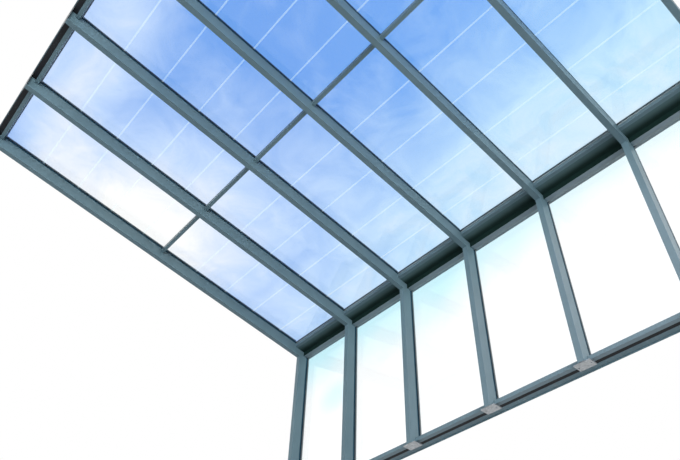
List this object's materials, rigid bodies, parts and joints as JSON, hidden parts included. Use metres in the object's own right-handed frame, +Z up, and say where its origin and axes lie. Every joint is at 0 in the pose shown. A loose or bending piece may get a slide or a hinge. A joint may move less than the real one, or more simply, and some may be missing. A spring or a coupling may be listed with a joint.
{
  "type": "roof skylight",
  "caption": "Fixed lean-to roof skylight: a sloping glass roof and an upright glazed front on slim metal bars that meet at the eave, with anchor feet and wall brackets.",
  "frame": {"origin": "midway between the two anchor holes of the middle mullion's foot, on the foot's underside", "axes": "+X along the eave, +Y outwards through the front glass, +Z up; the roof slopes up towards -Y"},
  "size_m": [6.17, 4.7808, 3.1492],
  "materials": {
    "bar_coating": "satin blue-grey powder coating",
    "roof_glass": "blue-tinted solar-control glass",
    "front_glass": "clear glass",
    "gasket_rubber": "matt black",
    "grey_rubber": "matt mid grey",
    "spacer_plastic": "matt black",
    "plain_aluminium": "mill finish",
    "dark_plastic": "matt black",
    "closure_coating": "matt near-black coating",
    "outer_coating": "satin blue-grey powder coating",
    "anchor_steel": "galvanised"
  },
  "bodies": {
    "root": {"eave_closure_panels": "closure_coating", "eave_flashing": "outer_coating", "eave_transoms": "bar_coating", "edge_packers": "dark_plastic", "front_glass_1": "front_glass", "front_glass_2": "front_glass", "front_glass_3": "front_glass", "front_glass_4": "front_glass", "front_glass_5": "front_glass", "front_glass_6": "front_glass", "head_transoms": "bar_coating", "inner_gaskets": "gasket_rubber", "knee_cleats": "plain_aluminium", "mid_transoms": "bar_coating", "mullion_1": "bar_coating", "mullion_2": "bar_coating", "mullion_3": "bar_coating", "mullion_4": "bar_coating", "mullion_5": "bar_coating", "mullion_6": "bar_coating", "mullion_7": "bar_coating", "mullion_caps": "outer_coating", "mullion_pressure_plates": "plain_aluminium", "outer_gaskets": "gasket_rubber", "rafter_1": "bar_coating", "rafter_2": "bar_coating", "rafter_3": "bar_coating", "rafter_4": "bar_coating", "rafter_5": "bar_coating", "rafter_6": "bar_coating", "rafter_7": "bar_coating", "rafter_caps": "outer_coating", "rafter_pressure_plates": "plain_aluminium", "ridge_flashing": "outer_coating", "ridge_transoms": "bar_coating", "roof_glass_lower_1": "roof_glass", "roof_glass_lower_2": "roof_glass", "roof_glass_lower_3": "roof_glass", "roof_glass_lower_4": "roof_glass", "roof_glass_lower_5": "roof_glass", "roof_glass_lower_6": "roof_glass", "roof_glass_upper_1": "roof_glass", "roof_glass_upper_2": "roof_glass", "roof_glass_upper_3": "roof_glass", "roof_glass_upper_4": "roof_glass", "roof_glass_upper_5": "roof_glass", "roof_glass_upper_6": "roof_glass", "setting_blocks": "dark_plastic", "side_flashings": "outer_coating", "sill_feet": "anchor_steel", "sill_flashing": "outer_coating", "sill_transoms": "bar_coating", "thermal_isolators": "dark_plastic", "transom_gaskets": "grey_rubber", "transom_spigots": "plain_aluminium", "unit_spacers": "spacer_plastic", "wall_brackets": "anchor_steel", "weather_seals": "gasket_rubber"}
  },
  "joints": []
}
